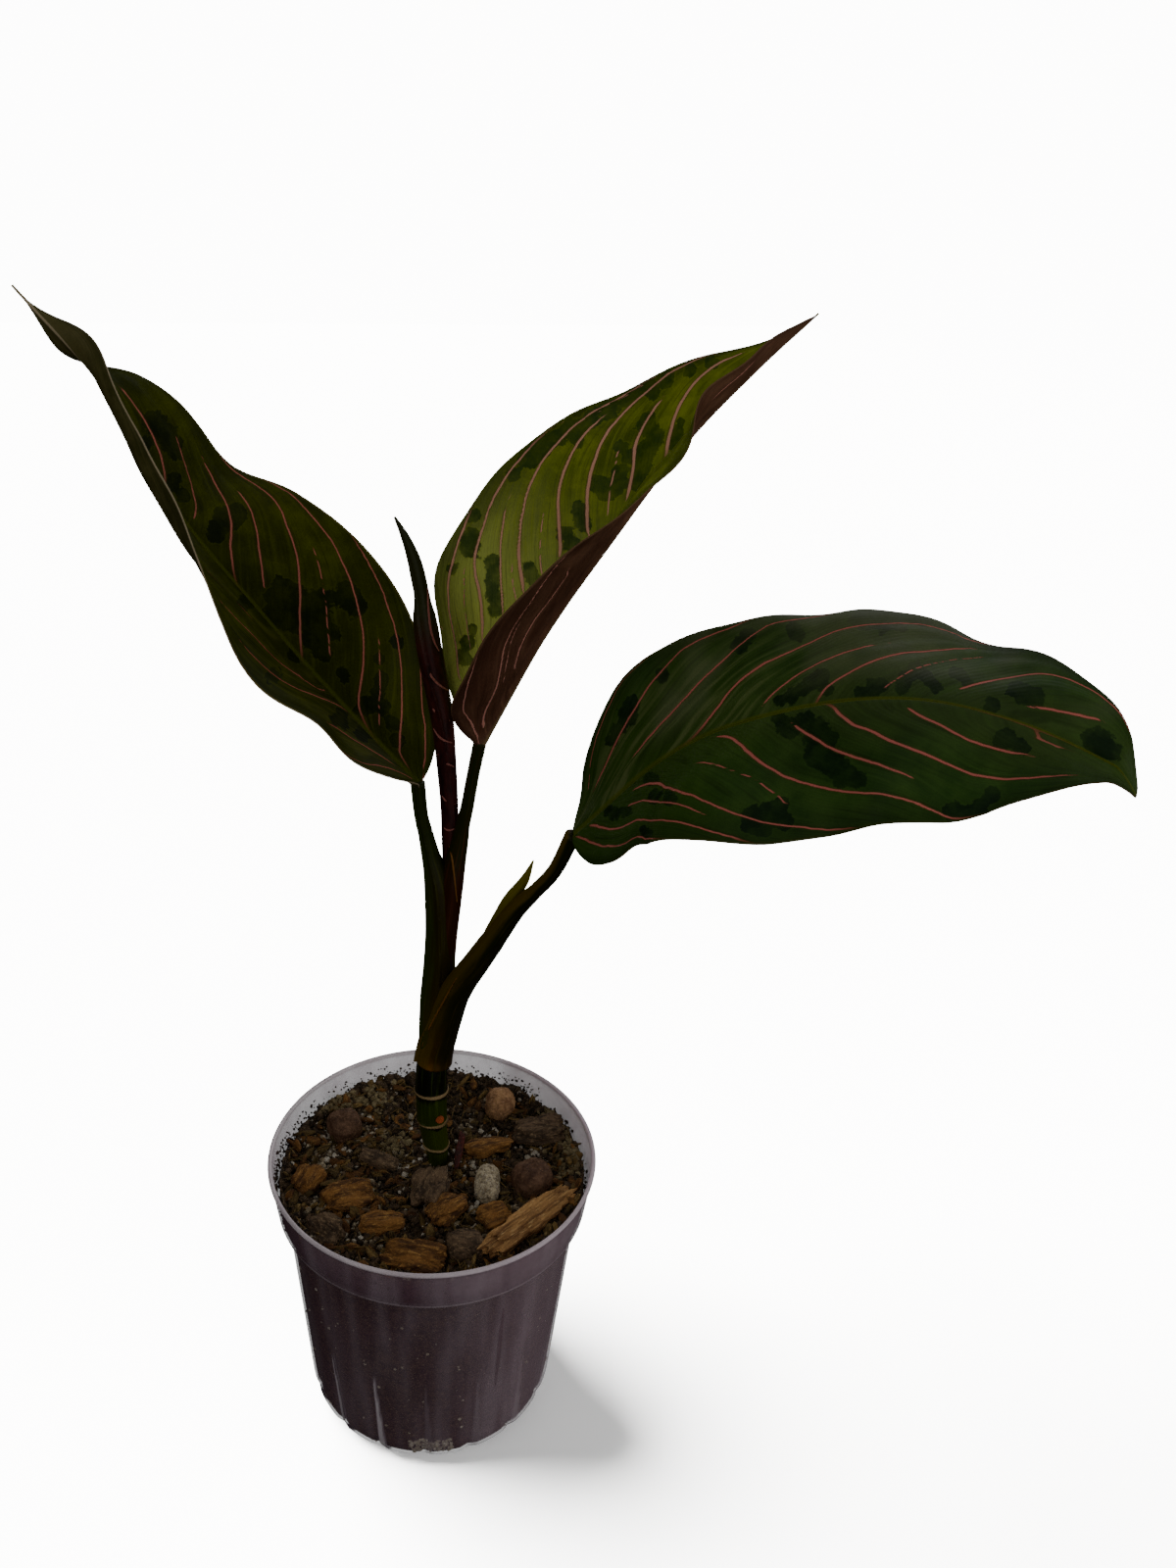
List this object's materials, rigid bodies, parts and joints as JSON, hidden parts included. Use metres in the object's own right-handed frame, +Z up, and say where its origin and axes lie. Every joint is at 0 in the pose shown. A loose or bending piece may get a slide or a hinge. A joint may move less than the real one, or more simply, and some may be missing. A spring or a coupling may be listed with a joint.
{
  "type": "potted aglaonema plant",
  "caption": "Young potted aglaonema: waved, blotched green blades with pink veins on channelled petioles from a short cane, in a clear tapered nursery pot of coarse mix.",
  "frame": {"origin": "centre of the pot's underside, on the surface that it stands on", "axes": "+Z up along the pot's axis; +X to the right and +Y away, as the picture looks at it"},
  "size_m": [0.2747, 0.1441, 0.3664],
  "materials": {
    "clear_pot": "thin translucent grey-mauve, moulded",
    "potting_mix": "damp crumbly mix of bark, pumice and perlite",
    "bark": "rough amber pine bark",
    "dark_bark": "rough grey-brown bark",
    "clay": "matt baked clay",
    "pumice": "pale porous stone",
    "cane": "smooth dark green with tan leaf scars",
    "petiole": "smooth olive green",
    "blade": "waxy dark green, blotched, with coral-pink veins",
    "rolled_blade": "waxy maroon with pink veins"
  },
  "bodies": {
    "root": {"pot": "clear_pot", "potting_soil": "potting_mix", "cane": "cane", "petiole_left": "petiole", "petiole_middle": "petiole", "petiole_right": "petiole", "leaf_left": "blade", "leaf_middle": "blade", "leaf_right": "blade", "rolled_leaf": "rolled_blade", "bark_chip_long": "bark", "husk_chip_right": "bark", "husk_chip_front": "bark", "husk_chip_left": "bark", "bark_piece_front": "bark", "bark_piece_amber": "bark", "wood_sliver": "bark", "bark_piece_dark": "dark_bark", "bark_piece_blunt": "dark_bark", "bark_piece_red": "dark_bark", "bark_piece_left": "dark_bark", "twig_piece": "dark_bark", "dry_fibre": "dark_bark", "flat_stone": "dark_bark", "clay_pebble_left": "clay", "clay_pebble_back": "clay", "clay_pebble_right": "clay", "pumice_stone": "pumice"}
  },
  "joints": []
}
